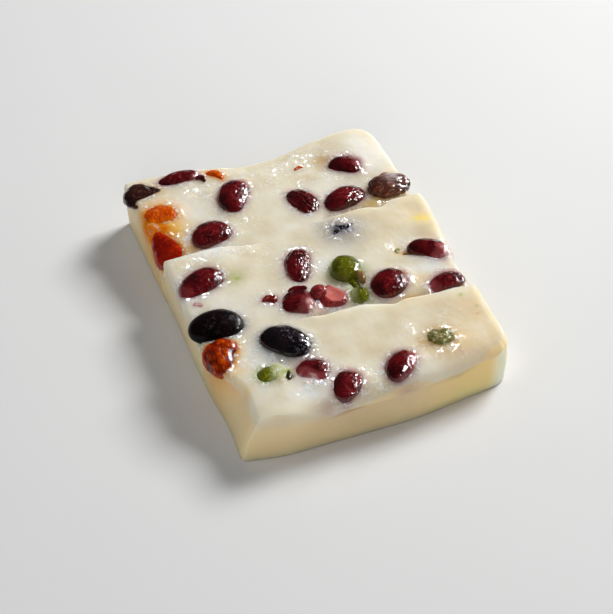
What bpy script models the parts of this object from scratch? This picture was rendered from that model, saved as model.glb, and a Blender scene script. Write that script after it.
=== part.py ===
"""Red bean rice cake: a slab of ivory glutinous rice cake, cut across into three strips that
still lie together, with red beans, black beans, peas and pumpkin pressed into its top.

X runs along the strips, Y from the front strip to the back one, and Z up. The origin is the
middle of the slab's underside.
"""

import math
from collections import namedtuple

import bmesh
import bpy
from mathutils import Matrix, Vector, noise

MM = 0.001

# Driving dimensions of the slab
LENGTH = 77.8 * MM
DEPTH = 99.4 * MM
HEIGHT = 15.9 * MM
BACK_CUT = 14.2 * MM  # Y of the cut between the back and the middle strip, at X = 0
BACK_CUT_SLOPE = 0.03
FRONT_CUT = -20.6 * MM  # Y of the cut between the middle and the front strip, at X = 0
FRONT_CUT_SLOPE = -0.06
GAP = 0.3 * MM  # free space across each cut and round each bean

# Edges of a strip
SIDE_ROUND = 2.0 * MM
RIGHT_ROUND_BACK = 1.5 * MM  # the right rim is sharper at the back and rounder at the front
RIGHT_ROUND_FRONT = 3.4 * MM
BACK_ROUND = 1.4 * MM
SHOULDER = 6.5 * MM  # the top falls away over this width at the strip's front edge
CREST = 1.2 * MM  # and stands up by this much at its back edge
CREST_WIDTH = 7.0 * MM
LEFT_LEAN = 0.8 * MM  # the left wall's foot stands in by this much
CORNER_LEAN = 4.6 * MM  # and its rim by this much at the front
BELLY = 0.3 * MM
LEFT_FREE = 1.6 * MM  # beans stand out over the left rim by this much
CUT_CORNER = 0.9 * MM
BACK_LEFT_CORNER = 1.6 * MM
BACK_RIGHT_CORNER = 6.0 * MM
FRONT_LEFT_CORNER = 1.6 * MM
FRONT_RIGHT_CORNER = 2.2 * MM

# Mesh of one strip: spacing of the loops, and where they lie on the rounded edges and the wall
COLUMN_STEP = 4.4 * MM
ROW_STEP = 4.6 * MM
ROUND_LOOPS = (0.13, 0.5, 1)
SHOULDER_LOOPS = (0.06, 0.22, 0.5, 1)
WALL_LOOPS = (0.12, 0.6)

# Mesh of a bean and of a larger lump
BEAN_SEGMENTS = 10
BEAN_RINGS = 8
LUMP_SEGMENTS = 14
LUMP_RINGS = 10
WRINKLE_SCALE = 1.9
SMOOTH_ANGLE = math.radians(50)

HALF_LENGTH = LENGTH / 2
HALF_DEPTH = DEPTH / 2

# Soft rises and dents of the top, in millimetres: middle, reach each way, height
Swell = namedtuple("Swell", "x y reach_x reach_y rise")
SWELLS = (
    Swell(28.5, 41.5, 11, 10, 1.5),
    Swell(1, 46, 17, 7, -1.8),
    Swell(17, 37, 4, 5, -0.7),
    Swell(-35, 50, 6, 6, -0.8),
    Swell(-17, 25, 9, 7, -0.5),
    Swell(25, 25, 7, 4, -0.6),
    Swell(-22, 6, 9, 5, 0.5),
    Swell(25, 4, 12, 6, 0.6),
    Swell(7, -12, 9, 5, -0.8),
    Swell(-8, -5, 14, 5, -0.3),
    Swell(7, -31, 12, 7, 0.5),
    Swell(-23, -34, 8, 6, -0.5),
    Swell(2, -43, 7, 4, -0.8),
    Swell(-38, -50, 7, 9, -3.4),
)
BACK_SAG = Swell(-39, 18, 6, 7, -5.5)  # the left end of the back strip's front edge

# Hollows with a steeper rim: middle, reach each way, height
HOLLOWS = (
    Swell(28.6, -2.4, 6.0, 5.4, -1.3),
    Swell(9.5, 30.5, 4.5, 3.0, -0.5),
    Swell(-12, 13.5, 7.0, 2.5, -0.9),
)

# Every bean, pea and piece of pumpkin: its middle in millimetres, how far the middle lies above
# the top of the cake there, its three sizes, and in degrees its turn about Z, the dip of its
# far end and its roll about its own length
Bean = namedtuple("Bean", "name kind x y lift length width thick yaw tilt roll")
BEANS = (
    Bean("brown_bean_corner", "brown", -33.7, 42.3, -0.7, 10.2, 5.6, 4.6, 9, 4, 0),
    Bean("red_bean_rim", "red", -22.3, 44.9, -0.4, 12.0, 4.8, 4.4, 2, 0, 0),
    Bean("pumpkin_shred", "shred", -12.1, 43.0, 0.0, 5.6, 2.4, 1.8, -52, 0, 0),
    Bean("red_bean_back_1", "red", -10.3, 32.0, -0.6, 13.2, 8.6, 6.8, 64, 0, 0),
    Bean("red_bean_back_2", "red", 6.4, 23.2, -0.7, 11.2, 7.6, 6.0, -74, 0, 0),
    Bean("red_bean_back_3", "red", 23.2, 33.3, -1.0, 9.8, 7.0, 5.8, -30, 0, 0),
    Bean("red_bean_back_4", "red", 17.8, 20.4, -0.5, 12.8, 7.6, 6.2, 14, 0, 0),
    Bean("brown_bean_back", "brown", 31.3, 20.6, 0.2, 12.8, 8.6, 7.4, 2, 0, 0),
    Bean("red_bean_back_5", "red", -21.3, 19.0, -0.4, 11.6, 9.0, 6.8, 14, 0, 0),
    Bean("pumpkin_back", "pumpkin", -31.7, 31.6, -1.2, 9.8, 8.0, 4.6, -15, 0, 0),
    Bean("pumpkin_edge", "wedge", -33.7, 20.6, -1.0, 12.6, 7.6, 5.0, 104, -14, -30),
    Bean("black_bean_sunk", "black", 12.1, 8.3, -1.9, 8.2, 6.4, 4.8, -20, 0, 0),
    Bean("red_bean_middle_1", "red", -30.2, 1.4, -0.5, 13.6, 8.2, 6.6, 21, -4, 0),
    Bean("red_bean_middle_2", "red", -3.6, -0.9, -0.5, 13.0, 7.2, 6.0, 71, 0, 0),
    Bean("pea_middle_1", "pea", 7.5, -6.7, 0.0, 8.6, 8.4, 8.4, -20, 0, 0),
    Bean("pea_middle_2", "pea", 7.6, -16.6, -0.9, 6.0, 5.6, 5.6, -20, 0, 0),
    Bean("red_bean_middle_3", "red", 15.9, -16.2, -0.3, 11.2, 9.4, 8.0, 29, 0, 0),
    Bean("red_bean_middle_4", "red", 31.3, -7.5, 0.1, 12.2, 6.8, 5.8, -38, 0, 0),
    Bean("red_bean_middle_5", "red", 30.7, -20.0, -0.8, 11.0, 6.0, 5.2, 7, 0, 0),
    Bean("red_bean_middle_6", "red", -8.7, -14.6, -0.5, 9.0, 8.6, 6.6, -20, 0, 0),
    Bean("red_bean_split", "split", -0.1, -15.1, -1.0, 8.6, 6.6, 5.2, -3, 0, 0),
    Bean("red_bean_chip", "red", -15.2, -10.8, -0.2, 4.4, 3.4, 2.4, -20, 0, 0),
    Bean("black_bean_left", "black", -31.6, -15.2, 0.1, 14.4, 9.8, 8.2, -5, 0, 0),
    Bean("black_bean_right", "black", -17.0, -27.2, 0.4, 14.0, 9.6, 7.8, -45, 0, 0),
    Bean("pumpkin_front", "pumpkin", -33.1, -25.9, -1.8, 10.8, 8.6, 7.0, 80, 0, 0),
    Bean("pea_front_1", "pea", -24.7, -35.6, -0.8, 6.8, 5.4, 5.2, 0, 0, 0),
    Bean("olive_chip", "pea", -20.0, -37.1, -0.6, 3.2, 2.4, 2.4, 70, 0, 0),
    Bean("red_bean_front_1", "red", -13.8, -38.4, -1.2, 9.2, 8.4, 6.4, -39, 0, 0),
    Bean("red_bean_front_2", "red", -7.4, -45.3, -1.3, 9.8, 7.8, 6.2, 37, 0, 0),
    Bean("red_bean_front_3", "red", 7.6, -44.2, -0.5, 10.6, 7.2, 6.0, 40, 0, 0),
    Bean("pea_front_2", "pea", 20.8, -39.4, -0.7, 8.0, 6.6, 5.2, -20, 0, 0),
)

# Form of each kind: fullness of the ends, sideways bend, taper to one end, depth of the wrinkles
Form = namedtuple("Form", "fullness bend taper wrinkle")
FORMS = {
    "red": Form(2.25, 0.10, 0.08, 0.02),
    "brown": Form(2.25, 0.06, -0.08, 0.04),
    "black": Form(2.1, 0.05, 0.03, 0.01),
    "pea": Form(2.1, 0.0, 0.0, 0.015),
    "split": Form(2.6, 0.0, -0.12, 0.06),
    "shred": Form(2.2, 0.25, -0.2, 0.05),
    "pumpkin": Form(2.8, 0.05, 0.0, 0.11),
    "wedge": Form(2.8, 0.05, -0.45, 0.03),
}
LUMPS = ("pumpkin", "wedge")

# Finish of each kind: base colour and roughness
FINISHES = {
    "cake": ((0.78, 0.73, 0.60), 0.28),
    "red": ((0.14, 0.012, 0.018), 0.3),
    "split": ((0.45, 0.12, 0.12), 0.4),
    "brown": ((0.05, 0.016, 0.012), 0.35),
    "black": ((0.008, 0.006, 0.010), 0.22),
    "pea": ((0.14, 0.19, 0.02), 0.35),
    "shred": ((0.62, 0.17, 0.015), 0.4),
    "pumpkin": ((0.62, 0.17, 0.015), 0.4),
    "wedge": ((0.30, 0.03, 0.005), 0.4),
}

# A strip's name, and the lines of its front and its back in plan, as functions of X
Strip = namedtuple("Strip", "name front back")


def smooth(value, start, end):
    """0 before start, 1 after end, with a soft passage between them; all in millimetres."""
    part = min(max((value / MM - start) / (end - start), 0.0), 1.0)
    return part * part * (3 - 2 * part)


def hump(value, middle, reach):
    """1 at the middle and falling to 0 over the reach, in millimetres."""
    return math.exp(-(((value / MM - middle) / reach) ** 2))


def front_edge(x):
    """The slab's front face, which bellies out and draws back at both ends."""
    return -HALF_DEPTH + 3.4 * MM * smooth(x, 6, 40) + 1.9 * MM * smooth(-x, 26, 39)


def back_edge(x):
    """The slab's back face: a shallow hollow near its middle, and its right end drawn in."""
    return HALF_DEPTH - 2.2 * MM * hump(x, 1, 14) - 1.4 * MM * smooth(x, -34, -26)


def left_edge(y):
    """The slab's left face, where it stands upright."""
    return -HALF_LENGTH + LEFT_FREE + 0.8 * MM * hump(y, -36, 9) + 0.3 * MM * hump(y, 5, 9)


def left_lean(y, level):
    """How far in the left wall stands, from level 0 at its foot to level 1 at its rim."""
    return LEFT_LEAN * (1 - level) + CORNER_LEAN * smooth(-y, 25, 40) * level**1.7


def right_edge(y):
    """The slab's right face, widest at the back corner of the middle strip."""
    back_strip = 1.9 * MM * smooth(y, 14, 16) + 0.8 * MM * smooth(y, 25, 45)
    front_strip = 0.8 * MM * smooth(-y, -15, 20)
    return HALF_LENGTH - back_strip - front_strip - 1.2 * MM * hump(y, -14, 7)


def strips():
    """The three strips, each with half of the gap left free at its cuts."""

    def back_cut(x):
        waves = -1.8 * MM * hump(x, 25.5, 2.6) - 1.8 * MM * hump(x, -13, 6)
        return BACK_CUT + BACK_CUT_SLOPE * x + waves

    def front_cut(x):
        waves = -1.2 * MM * smooth(x, 5, 12) - 0.9 * MM * hump(x, 14.5, 2.4)
        return FRONT_CUT + FRONT_CUT_SLOPE * x + waves - 0.6 * MM * hump(x, 27, 4)

    half_gap = GAP / 2
    return (
        Strip("slice_back", lambda x: back_cut(x) + half_gap, back_edge),
        Strip("slice_middle", lambda x: front_cut(x) + half_gap, lambda x: back_cut(x) - half_gap),
        Strip("slice_front", front_edge, lambda x: front_cut(x) - half_gap),
    )


def strip_at(x, y):
    for strip in strips():
        if y >= strip.front(x) - GAP:
            return strip
    return strips()[-1]


def cut_open(name, x):
    """1 where the cut at a strip's back stands open, 0 where it has closed again."""
    if name == "slice_front":
        return 1 - smooth(x, -30, -26) * (1 - smooth(x, -12, -4))
    return 1 - smooth(x, -15, -9) * (1 - smooth(x, 5, 12))


def shoulder_fall(strip, x):
    """How far a strip's top has fallen at its front edge."""
    if strip.name == "slice_front":
        return 1.2 * MM + 3.9 * MM * smooth(x, -26, -13)
    if strip.name == "slice_middle":
        fall = 0.5 * MM + 3.0 * MM * smooth(x, -14, 4) + 2.2 * MM * smooth(-x, 24, 36)
        return fall * cut_open("slice_front", x)
    fall = 0.5 * MM + 2.8 * MM * smooth(x, 6, 20) + 2.5 * MM * smooth(-x, 17, 34)
    return fall * cut_open("slice_middle", x)


def crest_rise(strip, x):
    """How far a strip's top stands up at its back edge."""
    if strip.name == "slice_back":
        return 0
    rise = CREST * (1 - 0.6 * hump(x, -5, 9)) * cut_open(strip.name, x)
    return rise * smooth(x, -30, -18) if strip.name == "slice_front" else rise


def quarter_round(distance, reach):
    """Fall of a quarter ellipse at a distance from the edge, 1 at the edge and 0 at its reach."""
    part = min(max(distance / reach, 0.0), 1.0)
    return 1 - math.sqrt(1 - (1 - part) ** 2)


def top_height(strip, x, y):
    """Z of a strip's top, before its side and back edges are rounded."""
    z = HEIGHT
    swells = SWELLS + ((BACK_SAG,) if strip.name == "slice_back" else ())
    for swell in swells:
        z += swell.rise * MM * hump(x, swell.x, swell.reach_x) * hump(y, swell.y, swell.reach_y)
    for hollow in HOLLOWS:
        across = (x / MM - hollow.x) / hollow.reach_x
        along = (y / MM - hollow.y) / hollow.reach_y
        z += hollow.rise * MM * math.exp(-((across**2 + along**2) ** 2))
    from_back = strip.back(x) - y
    from_front = y - strip.front(x)
    z += crest_rise(strip, x) * math.exp(-((from_back / CREST_WIDTH) ** 2))
    return z - shoulder_fall(strip, x) * quarter_round(from_front, SHOULDER)


def spaced(start, end, step):
    """Places between start and end, both left out, about a step apart."""
    count = max(round((end - start) / step), 1)
    return [start + (end - start) * i / count for i in range(1, count)]


def cut_loops(bm, axis, places):
    """Cuts loops into the mesh across an axis, one at each place."""
    normal = Vector((0, 0, 0))
    normal[axis] = 1
    for place in places:
        bmesh.ops.bisect_plane(
            bm,
            geom=bm.verts[:] + bm.edges[:] + bm.faces[:],
            plane_co=normal * place,
            plane_no=normal,
            dist=1e-7,
        )


def corner_radius(strip, u, v):
    """Radius in plan of the corner that a point is nearest to."""
    if strip.name == "slice_back" and v > 0:
        return BACK_RIGHT_CORNER if u > 0 else BACK_LEFT_CORNER
    if strip.name == "slice_front" and v < 0:
        return FRONT_RIGHT_CORNER if u > 0 else FRONT_LEFT_CORNER
    return CUT_CORNER


def round_corner(u, v, reach_u, reach_v):
    """Moves a point of a square with sides at 1 so that its corner becomes round."""
    over_u = max(abs(u) - (1 - reach_u), 0) / reach_u
    over_v = max(abs(v) - (1 - reach_v), 0) / reach_v
    if over_u == 0 or over_v == 0:
        return u, v
    scale = max(over_u, over_v) / math.hypot(over_u, over_v)
    new_u = math.copysign(1 - reach_u + over_u * scale * reach_u, u)
    new_v = math.copysign(1 - reach_v + over_v * scale * reach_v, v)
    return new_u, new_v


def strip_point(strip, depth, u, v, w):
    """Where a point of the box, each coordinate from -1 to 1, lies on the strip."""
    to_side = (1 - abs(u)) * HALF_LENGTH
    to_back = (1 - v) * depth / 2
    level = (w + 1) / 2
    radius = corner_radius(strip, u, v)
    u, v = round_corner(u, v, radius / HALF_LENGTH, 2 * radius / depth)
    x = u * HALF_LENGTH
    front, back = strip.front(x), strip.back(x)
    y = front + (back - front) * (v + 1) / 2
    right_round = RIGHT_ROUND_BACK + (RIGHT_ROUND_FRONT - RIGHT_ROUND_BACK) * smooth(-y, -12, 8)
    side_round = right_round if u > 0 else SIDE_ROUND
    side_fall = side_round * quarter_round(to_side, side_round)
    back_fall = BACK_ROUND * quarter_round(to_back, BACK_ROUND)
    if strip.name != "slice_back":
        back_fall *= cut_open(strip.name, x)
    belly = BELLY * (1 - math.sin(math.pi * level))
    left = left_edge(y) + left_lean(y, level)
    edge = right_edge(y) - belly if u > 0 else -left
    x = u * edge
    z = (top_height(strip, x, y) - max(side_fall, back_fall)) * level
    return Vector((x, y, z))


def make_strip(strip, material, collection):
    """One strip: a box with loops cut into it, moved point by point onto the strip's form."""
    depth = strip.back(0) - strip.front(0)
    to_sides = [1 - SIDE_ROUND * part / HALF_LENGTH for part in ROUND_LOOPS]
    to_front = [2 * SHOULDER * part / depth - 1 for part in SHOULDER_LOOPS]
    to_back = [1 - 2 * BACK_ROUND * part / depth for part in ROUND_LOOPS]
    columns = spaced(-to_sides[-1], to_sides[-1], COLUMN_STEP / HALF_LENGTH)
    rows = spaced(to_front[-1], to_back[-1], 2 * ROW_STEP / depth)
    bm = bmesh.new()
    bmesh.ops.create_cube(bm, size=2)
    cut_loops(bm, 0, columns + to_sides + [-place for place in to_sides])
    cut_loops(bm, 1, rows + to_front + to_back)
    cut_loops(bm, 2, [2 * level - 1 for level in WALL_LOOPS])
    underside = [face for face in bm.faces if face.normal.z < -0.5]
    bmesh.ops.dissolve_faces(bm, faces=underside)
    for vert in bm.verts:
        vert.co = strip_point(strip, depth, *vert.co)
    return finish_mesh(bm, strip.name, material, collection)


def finish_mesh(bm, name, material, collection):
    """An object made from the mesh, smooth but for its sharp edges."""
    bmesh.ops.recalc_face_normals(bm, faces=bm.faces[:])
    mesh = bpy.data.meshes.new(name)
    bm.to_mesh(mesh)
    bm.free()
    mesh.shade_smooth()
    mesh.set_sharp_from_angle(angle=SMOOTH_ANGLE)
    mesh.materials.append(material)
    obj = bpy.data.objects.new(name, mesh)
    collection.objects.link(obj)
    return obj


def bean_point(point, form, seed):
    """Moves a point of a unit ball, long axis X, onto a bean with half sizes of 1."""
    along = point.x
    ring = math.sqrt(max(1 - along * along, 0))
    full = max(1 - abs(along) ** form.fullness, 0) ** (1 / form.fullness)
    swell = full / ring if ring > 0.01 else 1
    wrinkle = form.wrinkle * noise.noise(point * WRINKLE_SCALE + Vector((seed, 0, 0)))
    swell *= 1 + form.taper * along + 2 * wrinkle
    bend = form.bend * (1 - 2 * along * along)
    return Vector((along, point.y * swell + bend, point.z * swell))


def make_bean(bean, grow, seed, name, material, collection):
    """A bean or lump in its place, larger all round by grow."""
    lump = bean.kind in LUMPS
    half = Vector((bean.length, bean.width, bean.thick)) * MM / 2 + Vector((grow, grow, grow))
    bm = bmesh.new()
    bmesh.ops.create_uvsphere(
        bm,
        u_segments=LUMP_SEGMENTS if lump else BEAN_SEGMENTS,
        v_segments=LUMP_RINGS if lump else BEAN_RINGS,
        radius=1,
        matrix=Matrix.Rotation(math.pi / 2, 4, "Y"),
    )
    for vert in bm.verts:
        point = bean_point(vert.co, FORMS[bean.kind], seed)
        vert.co = Vector((point.x * half.x, point.y * half.y, point.z * half.z))
    obj = finish_mesh(bm, name, material, collection)
    x, y = bean.x * MM, bean.y * MM
    obj.location = (x, y, top_height(strip_at(x, y), x, y) + bean.lift * MM)
    obj.rotation_euler = [math.radians(angle) for angle in (bean.roll, bean.tilt, bean.yaw)]
    return obj


def make_material(name, color, roughness):
    material = bpy.data.materials.new(name)
    material.use_nodes = True
    material.diffuse_color = (*color, 1)
    shader = material.node_tree.nodes["Principled BSDF"]
    shader.inputs["Base Color"].default_value = (*color, 1)
    shader.inputs["Roughness"].default_value = roughness
    shader.inputs["Metallic"].default_value = 0
    return material


def make_collection(name):
    collection = bpy.data.collections.new(name)
    bpy.context.scene.collection.children.link(collection)
    return collection


def cut_pockets(obj, cutters):
    """Cuts the beans' pockets out of a strip."""
    pockets = obj.modifiers.new("bean_pockets", "BOOLEAN")
    pockets.operation = "DIFFERENCE"
    pockets.operand_type = "COLLECTION"
    pockets.collection = cutters
    pockets.solver = "EXACT"


def main():
    for obj in list(bpy.data.objects):
        bpy.data.objects.remove(obj)
    cake = make_collection("red_bean_rice_cake")
    cutters = make_collection("pocket_cutters")
    materials = {kind: make_material(kind, *finish) for kind, finish in FINISHES.items()}
    for seed, bean in enumerate(BEANS):
        material = materials[bean.kind]
        make_bean(bean, 0, seed, bean.name, material, cake)
        cutter = make_bean(bean, GAP, seed, bean.name + "_pocket", material, cutters)
        cutter.hide_render = True
        cutter.display_type = "WIRE"
    for strip in strips():
        obj = make_strip(strip, materials["cake"], cake)
        cut_pockets(obj, cutters)


main()
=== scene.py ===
# Red bean rice cake: finish and fine form of the slab, its beans, peas and pumpkin.
# Lengths are in millimetres until a mesh is made, X runs along the strips, Y from front to back.
import math

import bmesh
import bpy
import numpy as np
from mathutils import Euler, Matrix, Vector, noise
from mathutils.bvhtree import BVHTree


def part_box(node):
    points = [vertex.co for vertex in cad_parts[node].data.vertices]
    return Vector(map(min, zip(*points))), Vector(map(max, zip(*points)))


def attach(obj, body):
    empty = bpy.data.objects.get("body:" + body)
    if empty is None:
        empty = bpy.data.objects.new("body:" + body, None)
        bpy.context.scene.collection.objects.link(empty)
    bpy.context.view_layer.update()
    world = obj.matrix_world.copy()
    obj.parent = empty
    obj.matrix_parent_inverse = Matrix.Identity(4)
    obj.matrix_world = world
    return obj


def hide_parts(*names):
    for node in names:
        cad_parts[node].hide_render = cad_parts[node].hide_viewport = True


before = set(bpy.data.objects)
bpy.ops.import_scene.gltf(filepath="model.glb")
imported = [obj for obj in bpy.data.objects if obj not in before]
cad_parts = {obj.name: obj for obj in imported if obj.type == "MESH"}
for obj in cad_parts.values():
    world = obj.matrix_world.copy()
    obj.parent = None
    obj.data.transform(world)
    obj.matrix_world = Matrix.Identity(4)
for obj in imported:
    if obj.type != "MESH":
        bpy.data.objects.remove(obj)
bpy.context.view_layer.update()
mm = 0.001
print("frame loaded:", len(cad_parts), "nodes")


# helpers for material nodes and geometry nodes
def wire(tree, node, inputs):
    # links or sets a node's inputs, by their names or numbers
    for key, value in inputs.items():
        if isinstance(value, bpy.types.NodeSocket):
            tree.links.new(value, node.inputs[key])
        elif value is not None:
            node.inputs[key].default_value = value


def made(tree, kind, inputs, **settings):
    node = tree.nodes.new(kind)
    for name, value in settings.items():
        setattr(node, name, value)
    wire(tree, node, inputs)
    return node.outputs


def calc(tree, operation, *values):
    return made(tree, "ShaderNodeMath", dict(enumerate(values)), operation=operation)[0]


def times(tree, first, *others):
    for other in others:
        first = calc(tree, "MULTIPLY", first, other)
    return first


def linear(tree, value, gain, base):
    return calc(tree, "MULTIPLY_ADD", value, gain, base)


def vectorCalc(tree, operation, *values):
    return made(tree, "ShaderNodeVectorMath", dict(enumerate(values)), operation=operation)[0]


def scaled(tree, vector, scale):
    return made(tree, "ShaderNodeVectorMath", {0: vector, "Scale": scale}, operation="SCALE")[0]


def combine(tree, x, y, z):
    return made(tree, "ShaderNodeCombineXYZ", {0: x, 1: y, 2: z})[0]


def separate(tree, vector):
    return made(tree, "ShaderNodeSeparateXYZ", {0: vector})


def fade(tree, value, start, end):
    # 0 below start, 1 above end
    inputs = {"Value": value, "From Min": start, "From Max": end}
    return made(tree, "ShaderNodeMapRange", inputs, interpolation_type="SMOOTHSTEP")["Result"]


def noiseTexture(tree, coords, scale, detail=2.0, rough=0.5, bend=0.0):
    inputs = {"Vector": coords, "Scale": scale, "Detail": detail, "Roughness": rough, "Distortion": bend}
    return made(tree, "ShaderNodeTexNoise", inputs)


def cloud(tree, coords, size, *shape):
    # noise with features about size millimetres wide
    return noiseTexture(tree, coords, 1 / (size * mm), *shape)[0]


def patches(tree, coords, size, start, end, *shape):
    return fade(tree, cloud(tree, coords, size, *shape), start, end)


def rgba(color):
    return (*color, 1) if isinstance(color, tuple) else color


def blend(tree, amount, first, second):
    inputs = {0: amount, 6: rgba(first), 7: rgba(second)}
    return made(tree, "ShaderNodeMix", inputs, data_type="RGBA")[2]


def attribute(tree, name):
    return made(tree, "ShaderNodeAttribute", {}, attribute_name=name)["Fac"]


def bump(tree, height, depth, under=None):
    # depth in millimetres for a height of 1
    inputs = {"Strength": 1, "Distance": depth * mm, "Height": height, "Normal": under}
    return made(tree, "ShaderNodeBump", inputs)[0]


def facets(tree, coords, size, tilt, under, lean=(0.5, 0.5, 0.5)):
    # small flat facets, each tilted its own way, as on a crackled or beaded wet skin
    ragged = noiseTexture(tree, coords, 1 / (size * mm))["Color"]
    bent = vectorCalc(tree, "ADD", coords, scaled(tree, ragged, size * mm))
    cells = made(tree, "ShaderNodeTexVoronoi", {"Vector": bent, "Scale": 1 / (size * mm)})["Color"]
    spread = scaled(tree, vectorCalc(tree, "SUBTRACT", cells, lean), tilt)
    return vectorCalc(tree, "NORMALIZE", vectorCalc(tree, "ADD", under, spread))


def newMaterial(name, **fixed):
    material = bpy.data.materials.new(name)
    material.use_nodes = True
    tree = material.node_tree
    shader = tree.nodes["Principled BSDF"]
    for key, value in fixed.items():
        shader.inputs[key.replace("_", " ")].default_value = value
    coords = tree.nodes.new("ShaderNodeTexCoord").outputs["Object"]
    return material, tree, shader, coords


def newTree(name, **inputs):
    # a geometry tree with named inputs; returns the tree and its input sockets by name
    tree = bpy.data.node_groups.new(name, "GeometryNodeTree")
    tree.interface.new_socket("Geometry", in_out="OUTPUT", socket_type="NodeSocketGeometry")
    kinds = {float: "NodeSocketFloat", int: "NodeSocketInt", str: "NodeSocketMaterial"}
    for key, value in inputs.items():
        item = tree.interface.new_socket(key, in_out="INPUT", socket_type=kinds[type(value)])
        if not isinstance(value, str):
            item.default_value = value
    entry = tree.nodes.new("NodeGroupInput")
    return tree, {socket.name: socket for socket in entry.outputs if socket.name}


def geometryNode(tree, kind, geometry=None, **inputs):
    inputs = inputs if geometry is None else {0: geometry} | inputs
    return made(tree, "GeometryNode" + kind, inputs)[0]


def endTree(tree, geometry, material):
    geometry = geometryNode(tree, "RealizeInstances", geometry)
    geometry = geometryNode(tree, "SetMaterial", geometry, Material=material)
    made(tree, "NodeGroupOutput", {0: geometry})


def growing(name, tree, values, mesh=None):
    # an object that carries the tree, with its inputs set by their identifiers
    obj = bpy.data.objects.new(name, mesh or bpy.data.meshes.new(name + "Seed"))
    bpy.context.scene.collection.objects.link(obj)
    modifier = obj.modifiers.new(tree.name, "NODES")
    modifier.node_group = tree
    for item in tree.interface.items_tree:
        if item.in_out == "INPUT" and item.name in values:
            modifier[item.identifier] = values[item.name]
    return obj


def harvest(growers):
    # plain meshes from the evaluated objects, which then go
    graph = bpy.context.evaluated_depsgraph_get()
    meshes = {obj.name: bpy.data.meshes.new_from_object(obj.evaluated_get(graph)) for obj in growers}
    for obj in growers:
        bpy.data.objects.remove(obj)
    return meshes


def addPiece(name, mesh, slot, *nodes):
    mesh.name = name
    mesh.shade_smooth()
    obj = bpy.data.objects.new(name, mesh)
    bpy.context.scene.collection.objects.link(obj)
    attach(obj, "root")
    if nodes:
        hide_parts(*nodes)
    return obj


# helpers for meshes and curves of values
def pointsOf(mesh):
    return np.array([vert.co for vert in mesh.vertices])


def treeOf(mesh):
    # for rays and nearest points
    form = bmesh.new()
    form.from_mesh(mesh)
    tree = BVHTree.FromBMesh(form)
    form.free()
    return tree


def fromAbove(tree, spot):
    # the highest point of a form over or under a spot, if it has one there
    return tree.ray_cast(Vector((spot.x, spot.y, 0.05)), Vector((0, 0, -1)))[0]


def addLayers(mesh, layers):
    for name, values in layers.items():
        layer = mesh.attributes.new(name, "FLOAT", "POINT")
        layer.data.foreach_set("value", values.astype(np.float32))


def rotation(turn, tilt=0, roll=0):
    angles = (math.radians(angle) for angle in (roll, tilt, turn))
    return Euler(tuple(angles)).to_matrix().to_4x4()


def sized(size):
    return dict(zip(("Length", "Width", "Thick"), size))


def smooth(value, start, end):
    part = np.clip((value - start) / (end - start), 0, 1)
    return part * part * (3 - 2 * part)


def hump(value, middle, reach):
    return np.exp(-(((value - middle) / reach) ** 2))


def patch(x, y, middleX, middleY, reachX, reachY):
    return hump(x, middleX, reachX) * hump(y, middleY, reachY)


# patterns in a skin: size, for patches where they start and are full, then the noise's detail,
# roughness and distortion
grain = {
    "mottle": (4.5, 0.32, 0.68),
    "flecks": (1.0, 0.5, 0.68, 3, 0.6, 0.8),
    "cracked": (2.8, 0.36, 0.52),
    "streaks": (1.3, 3),
    "crackle": (1.4, 1.5, 0.5),
    "uneven": (2.2, 1),
    "facets": 0.55,
}


def skinMaterial(name, look):
    # moist skin: patches and flecks of colour, crackled where light falls through it,
    # and milky where the cake's film lies over it; the light flecks also stand in for a painted
    # highlight on the side that faces the glints
    material, tree, shader, coords = newMaterial(
        name,
        Roughness=look["roughness"],
        IOR=1.45,
        Specular_IOR_Level=0.05,
        Coat_Weight=look["coat"],
        Coat_Roughness=0.05,
        Subsurface_Weight=look["glow"],
        Subsurface_Scale=0.0014,
        Subsurface_Radius=(1.0, 0.35, 0.25),
    )
    film = attribute(tree, "film")
    pale = attribute(tree, "pale")
    mottled = patches(tree, coords, *grain["mottle"])
    color = blend(tree, mottled, look["dark"], look["mid"])
    # painted highlight: the light flecks show everywhere at the share 'fleck' and fully on the lit side
    flecks = patches(tree, coords, *grain["flecks"])
    lit = linear(tree, pale, 1 - look["fleck"], look["fleck"])
    color = blend(tree, times(tree, flecks, lit), color, look["light"])
    # painted shade: a darker colour in dents and creases
    deep = times(tree, attribute(tree, "deep"), look["hollowShare"])
    color = blend(tree, deep, color, look["hollow"])
    color = blend(tree, attribute(tree, "inside"), color, look.get("flesh", look["light"]))
    streaky = linear(tree, cloud(tree, coords, *grain["streaks"]), 0.9, 0.55)
    milky = calc(tree, "MINIMUM", times(tree, film, streaky), 1)
    color = blend(tree, milky, color, look["milk"])
    color = blend(tree, fade(tree, milky, 0.55, 1.0), color, look.get("veil", look["milk"]))
    cracked = patches(tree, coords, *grain["cracked"])
    cracked = times(tree, cracked, linear(tree, pale, 0.94, 0.06))
    cracked = calc(tree, "MAXIMUM", cracked, film)
    crackle = times(tree, cloud(tree, coords, *grain["crackle"]), cracked)
    normal = bump(tree, cloud(tree, coords, *grain["uneven"]), look["uneven"])
    normal = bump(tree, crackle, look["crackle"], normal)
    glitter = facets(tree, coords, grain["facets"], times(tree, cracked, look["glitter"]), normal)
    wire(tree, shader, {"Base Color": color, "Normal": normal, "Coat Normal": glitter})
    return material


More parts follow.
